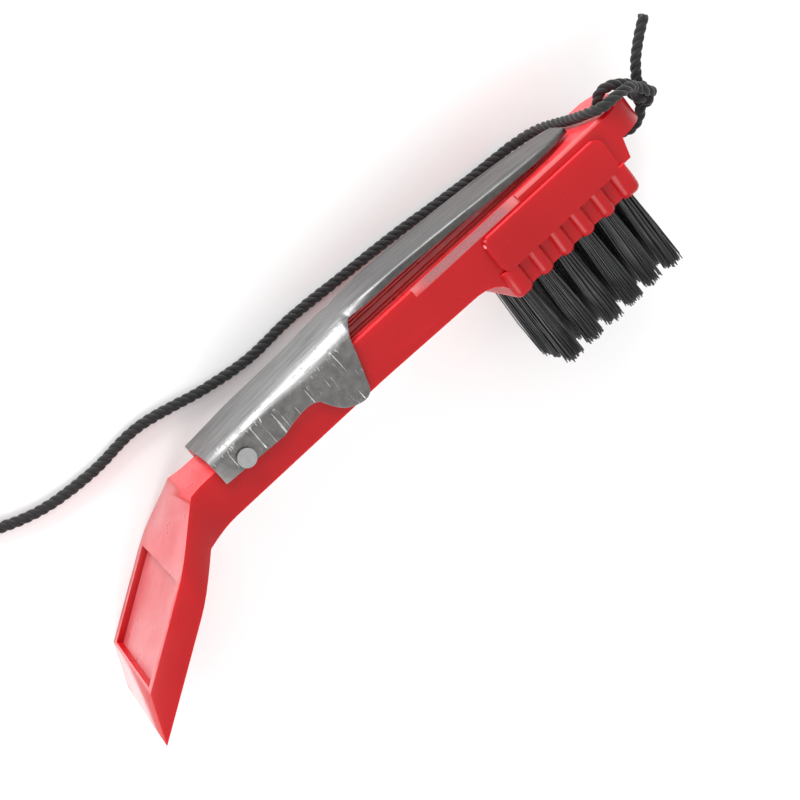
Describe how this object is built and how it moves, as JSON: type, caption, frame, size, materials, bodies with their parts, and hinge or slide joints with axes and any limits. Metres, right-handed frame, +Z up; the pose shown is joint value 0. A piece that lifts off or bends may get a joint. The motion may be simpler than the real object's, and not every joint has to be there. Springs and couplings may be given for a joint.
{
  "type": "club groove brush",
  "caption": "Golf club groove brush: red moulded bar with black nylon tufts, bent scraper handle, sprung steel strap clip and thin black cord.",
  "frame": {"origin": "bottom centre of the brush without its free cord, lying on its far side", "axes": "+X along the bar from the handle to the brush head, +Y from the bristles towards the clip, +Z up across the width"},
  "size_m": [0.1785, 0.0531, 0.034],
  "materials": {
    "body": "glossy red moulded plastic",
    "clip": "plated sheet steel, dull, with fine scratches",
    "pin": "bright turned steel",
    "spring": "drawn spring wire",
    "anchor": "drawn flat wire",
    "nylon": "black nylon filament",
    "cord": "black twisted three-strand cord"
  },
  "bodies": {
    "brush": {"body": "body", "tuft_1_1": "nylon", "tuft_1_2": "nylon", "tuft_1_3": "nylon", "tuft_1_4": "nylon", "tuft_1_5": "nylon", "tuft_1_6": "nylon", "tuft_2_1": "nylon", "tuft_2_2": "nylon", "tuft_2_3": "nylon", "tuft_2_4": "nylon", "tuft_2_5": "nylon", "tuft_2_6": "nylon", "tuft_3_1": "nylon", "tuft_3_2": "nylon", "tuft_3_3": "nylon", "tuft_3_4": "nylon", "tuft_3_5": "nylon", "tuft_3_6": "nylon", "anchor_1_1": "anchor", "anchor_1_2": "anchor", "anchor_1_3": "anchor", "anchor_1_4": "anchor", "anchor_1_5": "anchor", "anchor_1_6": "anchor", "anchor_2_1": "anchor", "anchor_2_2": "anchor", "anchor_2_3": "anchor", "anchor_2_4": "anchor", "anchor_2_5": "anchor", "anchor_2_6": "anchor", "anchor_3_1": "anchor", "anchor_3_2": "anchor", "anchor_3_3": "anchor", "anchor_3_4": "anchor", "anchor_3_5": "anchor", "anchor_3_6": "anchor", "pivot_pin": "pin", "torsion_spring": "spring", "cord_loop": "cord", "cord_knot": "cord", "cord_tail": "cord", "cord_run": "cord", "cord_coil": "cord"},
    "clip": {"clip_lever": "clip"}
  },
  "joints": [
    {"name": "clip_pivot", "type": "hinge", "parent": "brush", "child": "clip", "pos_m": [-0.02545, 0.0111, 0.017], "axis": [0, 0, 1], "range_deg": [0, 12], "stiffness_Nm_per_rad": 0.15, "springref_deg": -34.38, "deforming": ["torsion_spring"]}
  ]
}
